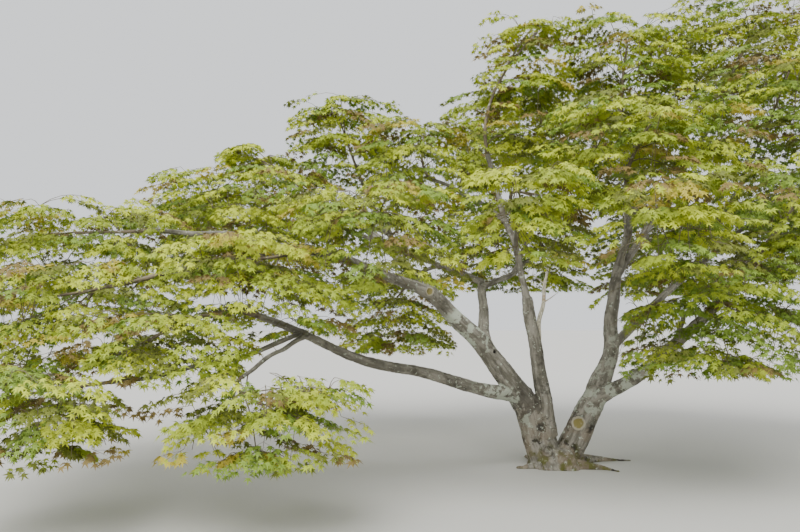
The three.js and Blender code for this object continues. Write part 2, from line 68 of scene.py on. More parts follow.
# Limbs in the order they grow. Each starts on the middle line of another limb, at a share of its length.
# on, at, bearing, reach, rise, arch, sway, snake, radius at the foot, radius at the tip
limbRows = {
    "trunk": (None, 0, 180, 0.25, 0.85, 0, 0, 0, 0.172, 0.152),
    "right_stem": (None, 0, 355, 0.36, 0.78, 0.007, 0, 0.01, 0.148, 0.112),
    "middle_stem": ("trunk", 0.55, 196, 0.23, 1.42, 0, 0.03, 0.012, 0.082, 0.058),
    "left_main_bough": ("trunk", 0.84, 201, 1.13, 1.2, 0.075, -0.012, 0.006, 0.114, 0.078),
    "left_low_bough": ("trunk", 1, 210, 2.95, 0.85, -0.1, -0.085, -0.02, 0.078, 0.028),
    "rear_left_bough": ("trunk", 0.93, 111, 1.03, 1.31, -0.02, 0.2, 0.03, 0.082, 0.046),
    "right_upright": ("right_stem", 1, 41, 0.46, 1.34, -0.02, -0.033, -0.037, 0.092, 0.058),
    "right_low_bough": ("right_stem", 0.84, 326, 1.64, 1.49, -0.165, 0.03, 0, 0.084, 0.033),
    "left_long_bough": ("left_main_bough", 1, 202, 2.6, 0.15, 0.3, 0, -0.03, 0.062, 0.026),
    "left_rising_bough": ("left_main_bough", 0.96, 157, 1.86, 1.09, 0.28, 0.05, 0, 0.05, 0.025),
    "middle_leader": ("middle_stem", 1, 205, 0.47, 1.49, 0, 0.02, 0.02, 0.038, 0.022),
    "rear_left_arm": ("rear_left_bough", 1, 163, 1.01, 0.39, 0.02, 0, 0.02, 0.037, 0.032),
    "rear_centre_bough": ("rear_left_bough", 0.95, 43, 1.18, 0.48, -0.03, -0.02, -0.02, 0.036, 0.026),
    "right_inner_bough": ("right_upright", 1, 257, 1.18, 0.71, 0.1, 0.08, 0, 0.044, 0.026),
    "right_top_bough": ("right_upright", 0.98, 268, 0.25, 1.64, 0, 0.08, 0.02, 0.044, 0.024),
    "right_outer_bough": ("right_upright", 0.93, 16, 1.73, 2.61, -0.22, 0.05, 0.03, 0.044, 0.024),
    "far_right_bough": ("right_upright", 0.35, 27, 2.23, 1.43, 0.09, -0.06, 0, 0.048, 0.026),
    "left_low_front_bough": ("left_low_bough", 0.84, 246, 0.95, -0.29, 0.05, 0.05, 0, 0.024, 0.015),
    "left_low_tip_bough": ("left_low_bough", 0.86, 218, 1.64, -0.34, -0.06, 0.06, 0, 0.024, 0.015),
    "left_front_bough": ("left_long_bough", 0.4, 232, 0.57, -0.03, 0.04, 0, 0, 0.026, 0.018),
    "left_shoulder_bough": ("left_long_bough", 0.52, 174, 1.53, 0.2, 0.05, 0.05, 0, 0.034, 0.022),
    "centre_front_bough": ("left_rising_bough", 0.25, 266, 0.8, 0.25, 0.05, 0, 0, 0.028, 0.018),
    "centre_top_bough": ("middle_leader", 0.55, 150, 0.84, 0.51, 0.04, 0, 0, 0.024, 0.016),
    "centre_skirt_bough": ("middle_leader", 0.3, 258, 1.16, 0.4, 0.08, 0, 0, 0.026, 0.017),
    "spire_bough": ("rear_left_arm", 1, 182, 0.55, 1.02, -0.1, 0, 0.03, 0.026, 0.02),
    "rear_left_low_bough": ("rear_left_arm", 0.5, 129, 0.61, -0.2, 0.06, 0, 0, 0.026, 0.017),
    "rear_side_bough": ("rear_left_arm", 0.92, 157, 1.71, 0.46, 0.1, 0, 0, 0.028, 0.02),
    "sparse_bough": ("spire_bough", 0.3, 166, 1.19, 0.71, -0.05, 0, 0.03, 0.02, 0.014),
    "rear_crest_bough": ("rear_centre_bough", 0.5, 30, 0.76, 1.33, -0.05, 0.05, 0, 0.026, 0.02),
    "right_skirt_bough": ("right_inner_bough", 0.4, 255, 1.56, -0.02, 0.05, 0, 0, 0.025, 0.016),
    "right_low_front_bough": ("right_low_bough", 0.52, 262, 0.48, 0.32, 0.05, 0, 0, 0.026, 0.017),
    "right_shoulder_bough": ("far_right_bough", 0.55, 335, 0.6, 1.12, -0.03, 0.06, 0, 0.028, 0.02),
    "rear_right_bough": ("right_outer_bough", 0.22, 68, 1.55, 0.14, 0.05, 0, 0, 0.03, 0.02),
    "dead_snag": ("middle_stem", 0.55, 61, 0.44, 0.98, -0.02, 0.02, 0, 0.024, 0.011),
}
limbFields = ("on", "at", "bearing", "reach", "rise", "arch", "sway", "snake", "base", "tip")
limbFeet = {"trunk": (-0.045, 0.01, -0.12), "right_stem": (0.105, 0.03, 0.02)}
limbOffsets = {"middle_stem": (0.105, -0.07, 0), "rear_left_bough": (0, 0.04, 0), "dead_snag": (0, 0.02, 0)}
rootCrown = {
    "middle": (0.015, 0.025),
    "radii": (0.3, 0.282, 0.235, 0.16),
    "heights": (-0.06, 0.025, 0.12, 0.2),
    "lobes": 5,
    "lobeDepth": 0.08,
}
surfaceRoots = (  # bearing, reach, radius at the crown and at the end
    (18, 0.9, 0.09, 0.022),
    (331, 0.65, 0.08, 0.024),
    (200, 0.46, 0.09, 0.032),
    (118, 0.52, 0.09, 0.028),
)

# Masses of foliage: on which limb, centre, half sizes, plates, seed
massRows = {
    "left_low_front": ("left_low_front_bough", (-2.65, -2.38, 0.87), (0.8, 0.56, 0.36), 6, 11),
    "left_low_tip": ("left_low_tip_bough", (-4.25, -2.45, 0.93), (0.82, 0.62, 0.38), 6, 12),
    "left_skirt": ("left_low_bough", (-3.5, -1.95, 1.3), (0.96, 0.72, 0.42), 7, 38),
    "left_middle": ("left_long_bough", (-4.5, -1.45, 1.62), (1.15, 0.82, 0.58), 8, 39),
    "left_shoulder": ("left_shoulder_bough", (-4.8, -0.5, 2.25), (1.3, 0.95, 0.6), 8, 15),
    "left_front": ("left_front_bough", (-2.9, -1.55, 1.92), (1.02, 0.8, 0.56), 9, 16),
    "left_top": ("left_rising_bough", (-3.28, 0.42, 2.8), (1.28, 1, 0.62), 9, 17),
    "left_sparse": ("sparse_bough", (-3.45, 1.65, 3.5), (0.75, 0.6, 0.38), 5, 18),
    "left_spire": ("spire_bough", (-2.36, 1.2, 3.78), (0.74, 0.66, 0.64), 7, 19),
    "centre_front": ("centre_front_bough", (-1.84, -1.6, 2.3), (0.95, 0.76, 0.55), 8, 20),
    "centre_top": ("centre_top_bough", (-1.35, 0.3, 3.36), (0.9, 0.86, 0.62), 7, 21),
    "centre_high": ("middle_leader", (-0.22, -0.1, 4), (0.6, 0.64, 0.95), 7, 22),
    "centre_skirt": ("centre_skirt_bough", (-0.6, -1.95, 2.42), (0.74, 0.62, 0.46), 6, 23),
    "right_top": ("right_top_bough", (0.85, 0, 4.26), (0.92, 0.82, 0.68), 8, 24),
    "right_front": ("right_inner_bough", (0.58, -1.35, 3.08), (0.98, 0.82, 0.54), 9, 25),
    "right_skirt": ("right_skirt_bough", (0.36, -2.2, 2.3), (0.74, 0.62, 0.4), 5, 26),
    "right_low": ("right_low_front_bough", (1.1, -1.35, 1.64), (1.06, 0.76, 0.6), 8, 27),
    "right_shoulder": ("right_shoulder_bough", (2.35, -0.35, 3.8), (1.15, 1, 0.6), 8, 28),
    "right_middle": ("right_low_bough", (2.07, -1.15, 2.62), (1.1, 0.86, 0.62), 8, 29),
    "right_crest": ("right_outer_bough", (2.65, 0.8, 4.86), (1.22, 1, 0.62), 9, 30),
    "far_right": ("far_right_bough", (3.4, 0.48, 2.66), (1.2, 1.25, 0.7), 8, 31),
    "rear_left_low": ("rear_left_low_bough", (-1.65, 2.05, 1.68), (1.05, 0.75, 0.62), 7, 32),
    "rear_left": ("rear_side_bough", (-3.8, 2.15, 2.69), (1.35, 1.02, 0.74), 7, 33),
    "rear_centre": ("rear_centre_bough", (0, 2.3, 2.62), (1.25, 0.92, 0.74), 7, 34),
    "rear_right": ("rear_right_bough", (2.05, 2.3, 2.5), (1.2, 0.96, 0.7), 7, 35),
    "rear_crest": ("rear_crest_bough", (0.56, 1.75, 3.98), (1.6, 1.05, 0.7), 8, 36),
}
massCrest = {"centre_high": 0.55}  # how far above its centre a mass's stem ends, 0.3 unless given here
plate = {
    "bladeLength": (0.54, 0.68),
    "bladeWidth": 0.76,
    "widest": 0.58,
    "pairAngle": 60,
    "droop": 0.13,
    "apart": 0.078,
}
squareness = 3
spaceMargin = 0.05
limbMargin = 0.035


def dice(seed):
    state = [seed]

    def roll():
        state[0] = state[0] * 48271 % 2147483647
        return state[0] / 2147483647

    return roll


def unit(v):
    return v / np.linalg.norm(v, axis=-1, keepdims=True)


def levelWays(turn):  # the level direction at an angle from +X, and the one to its left
    x, y = math.cos(turn), math.sin(turn)
    return np.array([x, y, 0.0]), np.array([-y, x, 0.0])


# Limb paths

limbs = {}


def limbPoints(name, t):
    limb = limbs[name]
    t = np.atleast_1d(np.asarray(t, float))
    along, aside = levelWays(math.radians(limb["bearing"]))
    bow, twice = np.sin(np.pi * t), np.sin(2 * np.pi * t)
    ripple = 0.011 * math.hypot(limb["reach"], limb["rise"]) * bow
    side = limb["sway"] * bow + limb["snake"] * twice + ripple * np.sin(limb["phase"] + 14 * t)
    lift = limb["rise"] * t + limb["arch"] * bow + ripple * np.sin(1.7 * limb["phase"] + 11 * t)
    return limb["foot"] + np.outer(limb["reach"] * t, along) + np.outer(side, aside) + np.outer(lift, up)


def limbRadii(name, t):
    limb = limbs[name]
    t = np.atleast_1d(np.asarray(t, float))
    swell = 0.2 * limb["base"] if limb["on"] else 0
    collar = swell * np.exp(-((np.maximum(t, 0) * limb["length"] / (2 * limb["base"])) ** 2))
    return limb["tip"] + (limb["base"] - limb["tip"]) * (1 - t) + collar


for index, (name, row) in enumerate(limbRows.items()):
    limb = dict(zip(limbFields, row))
    limbs[name] = limb
    roll = dice(101 + index)
    roll()
    limb["phase"] = roll() * 6.28
    foot = limbFeet.get(name) or limbPoints(limb["on"], limb["at"])[0]
    limb["foot"] = np.array(foot) + np.array(limbOffsets.get(name, (0, 0, 0)))
    steps = limbPoints(name, np.linspace(0, 1, 21))
    limb["length"] = float(np.linalg.norm(np.diff(steps, axis=0), axis=1).sum())

limbDots, limbDotRadii = [], []  # points 60 mm apart on every limb
for name, limb in limbs.items():
    count = math.ceil(limb["length"] / 0.06)
    shares = np.arange(count + 1) / count
    limbDots.append(limbPoints(name, shares))
    limbDotRadii.append(limbRadii(name, shares))
limbDots, limbDotRadii = np.concatenate(limbDots), np.concatenate(limbDotRadii)

massNames = list(massRows)
massCentres = np.array([massRows[name][1] for name in massNames], float)
massHalves = np.array([massRows[name][2] for name in massNames], float)


def insideness(points):  # 0 at a mass's centre, 1 on its surface, a little squarer than an ellipsoid
    x, y, z = np.moveaxis((points[:, None, :] - massCentres) / massHalves, 2, 0)
    return (np.hypot(x, y) ** squareness + np.abs(z) ** squareness) ** (1 / squareness)


def keepsToSpace(index, points, margin=spaceMargin, limit=1.0):
    depth = insideness(points)
    own = depth[:, index].copy()
    depth[:, index] = np.inf
    return (own < limit) & (own + margin < depth.min(axis=1))


def clearOfLimbs(points, margin=limbMargin):
    low, high = points.min(axis=0) - 0.3, points.max(axis=0) + 0.3
    near = np.all((limbDots > low) & (limbDots < high), axis=1)
    if not near.any():
        return np.ones(len(points), bool)
    gaps = np.linalg.norm(points[:, None, :] - limbDots[near], axis=2) - limbDotRadii[near]
    return (gaps > margin).all(axis=1)


def curve(a, b, c):
    def at(t):
        t = np.atleast_1d(np.asarray(t, float))[:, None]
        return a * (1 - t) ** 2 + b * 2 * t * (1 - t) + c * t * t

    return at


# The growth rule: a stem, twigs to plates, three blades a plate. Each blade then carries finer sprays.

def frameAxes(heading, pitch, tilt):
    along, aside = levelWays(heading)
    forward = along * math.cos(pitch) + up * math.sin(pitch)
    side = aside * math.cos(tilt) + np.cross(forward, aside) * math.sin(tilt)
    return forward, side, np.cross(forward, side)


def bladeFrame(root, heading, pitch, tilt, length):
    forward, side, lift = frameAxes(heading, pitch, tilt)

    def at(along, across, high):
        along, across, high = np.broadcast_arrays(*map(np.atleast_1d, (along, across, high)))
        sag = plate["droop"] * length * (0.6 * np.abs(across) + np.maximum(0, along - 0.5) ** 2 * 2)
        return (
            root
            + np.outer(along * length, forward)
            + np.outer(across * length * plate["bladeWidth"] / 2, side)
            + np.outer(high - sag, lift)
        )

    return at


def bladeDots(blade):
    alongs, acrosses = [], []
    for step in range(1, 7):
        along = step / 6
        wide = along / plate["widest"] if along < plate["widest"] else (1 - along) / (1 - plate["widest"])
        for across in (-wide, -wide / 2, 0, wide / 2, wide) if wide > 0.1 else (0,):
            alongs.append(along)
            acrosses.append(across)
    return blade(np.array(alongs), np.array(acrosses), 0.0)


def bladeScale(half):
    return min(1, max(0.72, half[0] / 0.98))


def plateSpots(half, plates, seed, roll):
    # Where the twigs end: a middle, a top and a low layer of plates, spread round the mass's middle
    top, low = math.floor(plates * 0.3 + 0.5), math.floor(plates * 0.24 + 0.5)
    layers = ((plates - top - low, 0.05, -14), (top, 0.68, -8), (low, -0.58, -18))
    spots = []
    for layer, (count, height, slope) in enumerate(layers):
        for i in range(count):
            turn = 2 * math.pi * (i + 0.5 * layer) / count + seed + 0.3 * (roll() - 0.5)
            room = 1 / math.hypot(math.cos(turn) / half[0], math.sin(turn) / half[1])
            room *= (1 - abs(height) ** squareness) ** (1 / squareness)
            out = max(0.08, room - 0.85 * bladeScale(half) * plate["bladeLength"][1])
            high = height * half[2] + (0.035 if i % 2 else -0.035) + 0.04 * (roll() - 0.5)
            spots.append((turn, np.array([math.cos(turn) * out, math.sin(turn) * out, high]), slope))
    return spots


def growMass(index):
    on, centre, half, plates, seed = massRows[massNames[index]]
    roll = dice(seed)
    roll()
    centre = np.array(centre, float)
    tip = limbPoints(on, 1)[0]
    direction = unit(limbPoints(on, 1.01)[0] - limbPoints(on, 0.99)[0])
    crest = massCrest.get(massNames[index], 0.3)
    far = centre + 0.15 * (centre - tip) + up * crest * half[2]
    start = tip + direction * clearance
    stem = curve(start, start + direction * 0.4 * np.linalg.norm(far - start), far)
    taken = [stem([0.1, 0.25, 0.4, 0.55, 0.7, 0.85])]
    scale = bladeScale(half)
    apart = plate["apart"] * scale
    grownPlates = []

    def growPlate(root, end, turn, slope):
        fork = stem(root)[0]
        ahead = unit(stem(root + 0.02)[0] - stem(root - 0.02)[0])
        span = np.linalg.norm(end - fork)
        bend = fork + ahead * 0.3 * span + up * 0.12 * span
        bend = bend + (end - bend) * 0.25
        twig = curve(fork, bend, end)
        lean = end - bend
        heading = math.atan2(lean[1] + 2 * span * math.sin(turn), lean[0] + 2 * span * math.cos(turn))
        others = np.concatenate(taken)
        blades, dots = [], []
        for hand in (-1, 0, 1):
            shortest, longest = plate["bladeLength"]
            full = scale * (shortest + (longest - shortest) * roll())
            swing = heading + hand * math.radians(plate["pairAngle"] + 6 * (roll() - 0.5))
            pitch = math.radians(slope + 10 * (roll() - 0.5))
            tilt = math.radians(14) * (roll() - 0.5)
            for size in (1, 0.84, 0.7, 0.56):
                blade = bladeFrame(end, swing, pitch, tilt, full * size)
                spread = bladeDots(blade)
                if not (keepsToSpace(index, spread) & clearOfLimbs(spread)).all():
                    continue
                if (np.linalg.norm(spread[:, None] - others, axis=2) < apart).any():
                    continue
                blades.append((blade, swing, pitch, tilt, full * size))
                dots.append(spread)
                break
        twigDots = twig([0.4, 0.55, 0.7, 0.85, 1])
        fits = (keepsToSpace(index, twigDots) & clearOfLimbs(twigDots)).all()
        fits = fits and (np.linalg.norm(twigDots[:, None] - others, axis=2) > 0.6 * apart).all()
        if not fits or not blades:
            return
        taken.extend([*dots, twigDots[1:4]])
        grownPlates.append((twig, blades))

    onward = unit(far - stem(0.9)[0])
    growPlate(0.84, far + onward * 0.13, math.atan2(onward[1], onward[0]), -6)
    for turn, offset, slope in plateSpots(half, plates, seed, roll):
        end = centre + offset
        shares = np.arange(0.1, 0.9, 0.05)
        near = shares[np.argmin(np.linalg.norm(stem(shares) - end, axis=1))]
        growPlate(max(0.06, near - 0.22), end, turn, slope)
    return stem, grownPlates


# Small tools for node trees, colours and meshes

def linear(code):
    parts = [int(code[i : i + 2], 16) / 255 for i in (1, 3, 5)]
    return tuple(c / 12.92 if c <= 0.04045 else ((c + 0.055) / 1.055) ** 2.4 for c in parts) + (1.0,)


def addNode(tree, kind, inputs=(), **settings):  # an input that is a node takes its first output
    node = tree.nodes.new(kind)
    for name, value in settings.items():
        setattr(node, name, value)
    for key, value in dict(inputs).items():
        source = value.outputs[0] if isinstance(value, bpy.types.Node) else value
        if isinstance(source, bpy.types.NodeSocket):
            tree.links.new(source, node.inputs[key])
        else:
            node.inputs[key].default_value = source
    return node


def newMaterial(name):
    material = bpy.data.materials.new(name)
    material.use_nodes = True
    material.node_tree.nodes.clear()
    return material, material.node_tree


def layered(tree, look, base, layers):
    # Shades over one another: each one's name, its pattern, where that starts and is full, its most share
    colour = linear(look[base])
    for shade, source, low, high, most in layers:
        ends = {0: source, 1: low, 2: high, 4: most}
        share = addNode(tree, "ShaderNodeMapRange", ends, interpolation_type="SMOOTHSTEP")
        shades = {0: share, 6: colour, 7: linear(look[shade])}
        colour = addNode(tree, "ShaderNodeMix", shades, data_type="RGBA").outputs[2]
    return colour


def finishMaterial(tree, colour, roughness, specular, **more):
    look = {"Base Color": colour, "Roughness": roughness, "Specular IOR Level": specular, **more}
    addNode(tree, "ShaderNodeOutputMaterial", {"Surface": addNode(tree, "ShaderNodeBsdfPrincipled", look)})


def plainMaterial(name, code, roughness, specular):
    material, tree = newMaterial(name)
    finishMaterial(tree, linear(code), roughness, specular)
    return material


def linkObject(name, data):
    piece = bpy.data.objects.new(name, data)
    bpy.context.scene.collection.objects.link(piece)
    return piece


def meshObject(name, vertices, faces=(), edges=()):
    mesh = bpy.data.meshes.new(name)
    mesh.from_pydata(np.asarray(vertices).tolist(), list(edges), list(faces))
    return linkObject(name, mesh)


def applied(source):
    # The source with its modifiers applied, as a plain mesh that takes its name
    name = source.name
    graph = bpy.context.evaluated_depsgraph_get()
    mesh = bpy.data.meshes.new_from_object(source.evaluated_get(graph))
    bpy.data.objects.remove(source)
    mesh.name = name
    return linkObject(name, mesh)


def sweep(path, radii, sides):
    # Rings round a path, closed at both ends. A ring's radii may differ by side.
    path = np.asarray(path, float)
    radii = np.broadcast_to(np.asarray(radii, float).reshape(len(path), -1), (len(path), sides))
    tangents = unit(np.gradient(path, axis=0))
    chord = path[-1] - path[0]
    aside = np.array([-chord[1], chord[0], 0.0])
    if np.linalg.norm(aside) < 0.02 * np.linalg.norm(chord):
        aside = np.array([0.0, 1.0, 0.0])
    across = unit(aside - tangents * (tangents @ aside)[:, None])
    over = np.cross(tangents, across)
    turns = np.arange(sides) * 2 * np.pi / sides
    ring = np.cos(turns)[None, :, None] * across[:, None] + np.sin(turns)[None, :, None] * over[:, None]
    vertices = (path[:, None] + radii[:, :, None] * ring).reshape(-1, 3)
    faces = []
    for i in range(len(path) - 1):
        for k in range(sides):
            a, b = i * sides + k, i * sides + (k + 1) % sides
            faces.append((a, b, b + sides, a + sides))
    first, last = len(vertices), len(vertices) + 1
    end = (len(path) - 1) * sides
    for k in range(sides):
        faces.append((first, (k + 1) % sides, k))
        faces.append((last, end + k, end + (k + 1) % sides))
    return np.concatenate([vertices, path[:1], path[-1:]]), faces


def joined(parts):
    vertices, faces, offset = [], [], 0
    for points, polygons in parts:
        vertices.append(points)
        faces.extend(tuple(corner + offset for corner in face) for face in polygons)
        offset += len(points)
    return np.concatenate(vertices), faces


# Wood: every limb is swept with flutes and swellings, and the thick ones are fused by a remesh

fusedFrom = {"left_stems": "trunk", "right_stems": "right_stem"}  # the first limb of each fused piece
voxels = {"left_stems": 0.010, "right_stems": 0.009}
thickFoot = 0.035  # a limb with at least this radius at its foot is fused
thickSweep = {"sides": 28, "ringStep": 0.022, "depth": 0.055}  # the flutes' depth is a share of the radius
thinSweep = {"sides": 14, "ringStep": 0.028, "depth": 0.06}
reliefGrain = {"coarse": 9.0, "fine": np.array([38.0, 38.0, 26.0])}
reliefHeights = {"left_stems": 0.0045, "right_stems": 0.0045, "slender_boughs": 0.0022, "branchlets": 0.001}


def flutedRadii(radii, lengths, sides, phase, depth):
    turns = np.arange(sides) * 2 * np.pi / sides
    s = lengths[:, None]
    wave = depth * np.sin(2 * turns + phase + 1.9 * s)
    wave = wave + 0.7 * depth * np.sin(3 * turns - 2.1 * phase - 2.6 * s)
    wave = wave + 0.35 * depth * np.sin(5 * turns + 3.3 * phase + 4.1 * s)
    swell = 0.35 * depth * np.sin(7.5 * s + phase) + 0.25 * depth * np.sin(17 * s + 2.3 * phase)
    return radii[:, None] * (1 + wave + swell)


def limbSweep(name, sides, ringStep, depth):
    limb = limbs[name]
    start = -0.4 * limb["base"] / limb["length"]
    count = max(6, round(limb["length"] / ringStep))
    t = np.linspace(start, 1.0, count + 1)
    radii = limbRadii(name, t)
    if name == "trunk":
        radii = radii * np.sqrt(np.maximum(0.12, 1 - np.maximum(0, (t - 0.84) / 0.17) ** 2))
    radii = flutedRadii(radii, t * limb["length"], sides, limb["phase"], depth)
    return sweep(limbPoints(name, t), radii, sides)


def rootCrownSweep():
    rings, sides = 14, 64
    heights = np.linspace(rootCrown["heights"][0], rootCrown["heights"][-1], rings)
    radii = np.interp(heights, rootCrown["heights"], rootCrown["radii"])
    turns = np.arange(sides) * 2 * np.pi / sides
    flare = 1 + rootCrown["lobeDepth"] * np.cos(rootCrown["lobes"] * turns + 0.6)
    path = np.column_stack([np.tile(rootCrown["middle"], (rings, 1)), heights])
    return sweep(path, radii[:, None] * flare, sides)


def rootSweeps():
    parts = []
    start = 0.15  # from the crown's middle
    for bearing, reach, base, tip in surfaceRoots:
        along, aside = levelWays(math.radians(bearing))
        t = np.linspace(0, 1, 30)
        path = np.array([*rootCrown["middle"], 0.0]) + along * start
        path = path + np.outer((reach - start) * t, along)
        path = path + np.outer(0.06 * reach * np.sin(5 * t + bearing), aside)
        path = path + np.outer(0.03 * (1 - t) - 0.01 * t, up)
        radii = base + (tip - base) * np.minimum(1, 1.25 * t)
        parts.append(sweep(path, flutedRadii(radii, t * reach, 16, bearing, 0.09), 16))
    return parts


def surfacePoint(name, at, turn):
    # A point on a limb's surface, turned round it from the side that faces -Y towards +X
    centre = limbPoints(name, at)[0]
    tangent = unit(limbPoints(name, at + 0.01)[0] - limbPoints(name, at - 0.01)[0])
    front = np.array([0.0, -1.0, 0.0])
    front = unit(front - tangent * (front @ tangent))
    right = np.cross(tangent, front)
    out = front * math.cos(math.radians(turn)) + right * math.sin(math.radians(turn))
    return centre + out * limbRadii(name, at)[0], out


# Scars and knots: limb, share of its length, turn round it, radius, height of the rim, depth of the face
barkScars = {
    "pruned_face": ("right_stem", 0.52, -34, 0.060, 0.013, 0.010),
    "swirl_knot": ("trunk", 0.34, 10, 0.062, 0.018, 0.014),
    "collar_hole": ("left_main_bough", 0.42, 35, 0.022, 0.010, 0.028),
    "stub_face": ("left_long_bough", 0.02, 10, 0.036, 0.012, 0.004),
}
lichenSpans = {  # from, to, strength
    "left_main_bough": (0.42, 0.86, 1.0),
    "trunk": (0.55, 1.0, 0.55),
    "left_low_bough": (0.0, 0.25, 0.75),
    "right_stem": (0.55, 1.0, 0.6),
    "right_low_bough": (0.0, 0.45, 0.8),
    "right_upright": (0.0, 0.5, 0.45),
}
lichenFade = 0.06  # share of the limb's length
mossHeight = 0.32
groundCut = 0.0005  # a hair above the floor


def fused(source, voxel):
    remesh = source.modifiers.new("fuse", "REMESH")
    remesh.mode = "VOXEL"
    remesh.voxel_size = voxel
    relax = source.modifiers.new("relax", "SMOOTH")
    relax.factor = 0.5
    relax.iterations = 4
    return applied(source)


def cutAtGround(piece):
    work = bmesh.new()
    work.from_mesh(piece.data)
    geometry = work.verts[:] + work.edges[:] + work.faces[:]
    ground = {"plane_co": (0, 0, groundCut), "plane_no": (0, 0, 1)}
    cut = bmesh.ops.bisect_plane(work, geom=geometry, clear_inner=True, **ground)
    rim = [e for e in cut["geom_cut"] if isinstance(e, bmesh.types.BMEdge)]
    bmesh.ops.holes_fill(work, edges=rim, sides=0)
    bmesh.ops.triangulate(work, faces=[f for f in work.faces if len(f.verts) > 4])
    work.to_mesh(piece.data)
    work.free()


def vertexArray(items, field):
    values = np.empty(len(items) * 3, np.float32)
    items.foreach_get(field, values)
    return values.reshape(-1, 3).astype(float)


grainDots = []  # every 20 mm of a limb: its name, the share, the place and the two ways across it there
for name, limb in limbs.items():
    shares = np.linspace(0, 1, math.ceil(limb["length"] / 0.02) + 1)
    tangents = limbPoints(name, shares + 0.01) - limbPoints(name, shares - 0.01)
    aside = levelWays(math.radians(limb["bearing"]))[1]
    for share, point, tangent in zip(shares, limbPoints(name, shares), tangents):
        grainDots.append((name, share, point, np.array([aside, unit(np.cross(tangent, aside))])))
grainTree = kdtree.KDTree(len(grainDots))
for number, dot in enumerate(grainDots):
    grainTree.insert(Vector(dot[2]), number)
grainTree.balance()


def addAttribute(mesh, name, kind, values):
    attribute = mesh.attributes.new(name, kind, "POINT")
    field = "color" if kind == "FLOAT_COLOR" else "vector" if kind == "FLOAT_VECTOR" else "value"
    attribute.data.foreach_set(field, np.asarray(values).ravel())


def dressWood(piece, bump):
    # Relief along the surface, then what the bark material reads: the way along a limb, and the marks
    mesh = piece.data
    points, normals = vertexArray(mesh.vertices, "co"), vertexArray(mesh.vertex_normals, "vector")
    lift = np.zeros(len(points))
    ways = np.zeros((len(points), 3))
    marks = np.zeros((len(points), 4), np.float32)
    marks[:, 3] = np.maximum(0, 1 - points[:, 2] / mossHeight)
    for i, point in enumerate(points):
        _, dot, _ = grainTree.find(Vector(point))
        name, share, centre, across = grainDots[dot]
        ways[i] = *(across @ (point - centre)), share * limbs[name]["length"]
        coarse, fine = (noise.noise(Vector(point * grain)) for grain in reliefGrain.values())
        lift[i] = bump * (1.1 * coarse + 0.8 * fine)
        if name in lichenSpans:
            low, high, strength = lichenSpans[name]
            fades = (share - low) / lichenFade, (high - share) / lichenFade
            marks[i, 2] = strength * min(1.0, max(0.0, fades[0])) * min(1.0, max(0.0, fades[1]))
    for kind, (name, at, turn, radius, rim, hollow) in barkScars.items():
        centre, out = surfacePoint(name, at, turn)
        offset = points - centre
        outward = offset @ out
        flat = np.linalg.norm(offset - np.outer(outward, out), axis=1)
        near = (flat < 3 * radius) & (np.abs(outward) < 0.09) & (normals @ out > 0.1)
        ring = np.exp(-(((flat - radius) / (0.34 * radius)) ** 2))
        face = np.clip((radius - flat) / (0.25 * radius) + 0.6, 0, 1)
        lift[near] += (rim * ring - hollow * face)[near]
        if kind == "swirl_knot":
            swirl = np.sin(flat / radius * 9 + np.arctan2(offset[:, 2], offset[:, 0]))
            lift[near] += (0.004 * swirl * np.clip(2.2 - flat / radius, 0, 1))[near]
        # Channel 1 carries the near-black colour: painted shade inside the collar hole, and dark lines on
        # the knot's swirl
        if kind == "collar_hole":
            channel, mark = 1, face
        elif kind == "swirl_knot":
            channel, mark = 1, 0.45 * (swirl > 0.5) * (flat < 1.1 * radius)
        else:
            channel, mark = 0, np.clip(1.9 - 1.25 * flat / radius, 0, 1)
        marks[near, channel] = np.maximum(marks[near, channel], mark[near])
    moved = points + normals * lift[:, None]
    moved[:, 2] = np.maximum(moved[:, 2], 0.0)
    mesh.vertices.foreach_set("co", moved.astype(np.float32).ravel())
    addAttribute(mesh, "grain", "FLOAT_VECTOR", ways)
    addAttribute(mesh, "marks", "FLOAT_COLOR", marks)
    mesh.shade_smooth()
    mesh.update()


# Bark of a smooth-barked garden maple: matt grey, streaked along the limb, with pale lichen, dark patches
# that grow stronger towards the bottom of the stems, and a little moss where they meet the ground
barkLook = {
    "grey": "#6D695E",
    "pale": "#969185",
    "dark": "#48443B",
    "low_dark": "#2B2823",
    "lichen": "#BCC2B0",
    "tan": "#8B7D68",
    "moss": "#5B5C28",
    "scar": "#857B4A",
    "rim": "#A8A18C",
    # near-black painted shade inside the collar hole, also the dark lines on the swirl knot
    "hole_shade_and_knot": "#1C1814",
}
barkPatterns = {  # size in millimetres, detail, roughness
    "streak": (20, 4, 0.6),
    "furrow": (9, 5, 0.6),
    "mottle": (60, 4, 0.6),
    "low_dark": (110, 6, 0.7),
    "tan": (90, 4, 0.6),
    "lichen": (55, 6, 0.7),
    "speck": (20, 3, 0.6),
    "moss": (60, 5, 0.6),
    "worn": (22, 4, 0.6),
}
alongLimb = ("streak", "furrow")
lowShades = {"low_dark": (1.25, 0.35, 0.0, 0.92), "tan": (0.75, 0.1, 0.0, 0.65)}  # heights, shares there


